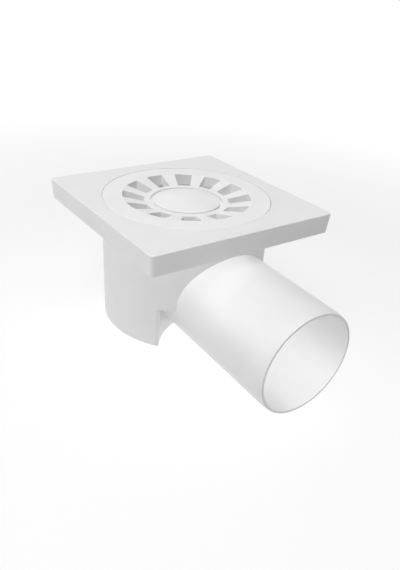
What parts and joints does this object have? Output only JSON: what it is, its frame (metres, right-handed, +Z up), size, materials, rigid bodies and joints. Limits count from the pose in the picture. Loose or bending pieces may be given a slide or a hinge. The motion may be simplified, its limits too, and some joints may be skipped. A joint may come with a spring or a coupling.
{
  "type": "floor gully trap",
  "caption": "Square floor drain with a dished slotted grate, a round water-seal cup and a side outlet spigot.",
  "frame": {"origin": "centre of the plate's top face, which is the finished floor level, on the drain's axis", "axes": "+Z up out of the plate's top face, +X along the outlet"},
  "size_m": [0.1443, 0.1, 0.0668],
  "materials": {
    "housing": "satin moulded white polypropylene",
    "grate": "satin moulded white polypropylene",
    "trap_insert": "satin moulded white polypropylene",
    "seal_ring": "matt black rubber"
  },
  "bodies": {
    "root": {"housing": "housing", "grate": "grate", "trap_insert": "trap_insert", "seal_ring": "seal_ring"}
  },
  "joints": []
}
